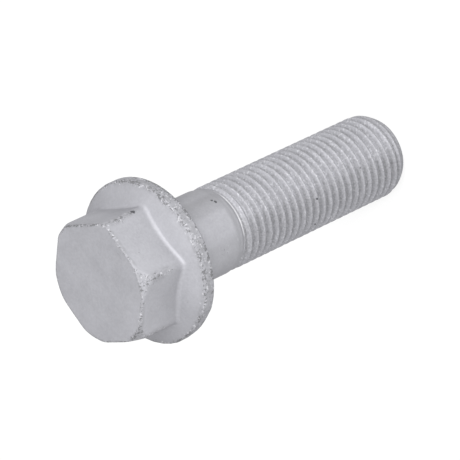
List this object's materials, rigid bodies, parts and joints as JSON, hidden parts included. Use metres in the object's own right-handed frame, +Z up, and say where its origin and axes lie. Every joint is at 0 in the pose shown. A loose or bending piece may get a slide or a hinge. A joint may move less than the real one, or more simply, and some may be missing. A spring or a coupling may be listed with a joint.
{
  "type": "hexagon flange bolt",
  "caption": "Steel hexagon bolt with a flange forged under its head, a plain shank and a fine right-hand thread, for clamping parts to a nut or a tapped hole.",
  "frame": {"origin": "centre of the flat of the threaded end, which the bolt stands on", "axes": "+Z up along the bolt's axis, from the threaded end to the head; +X square to one flat of the hexagon"},
  "size_m": [0.0264, 0.0264, 0.0617],
  "materials": {
    "zinc_flake_steel": "matt silver-grey zinc-flake coat on forged steel, rubbed dark along the flange's rim, the hexagon's edges and the thread's crests"
  },
  "bodies": {
    "root": {"flange_bolt": "zinc_flake_steel"}
  },
  "joints": []
}
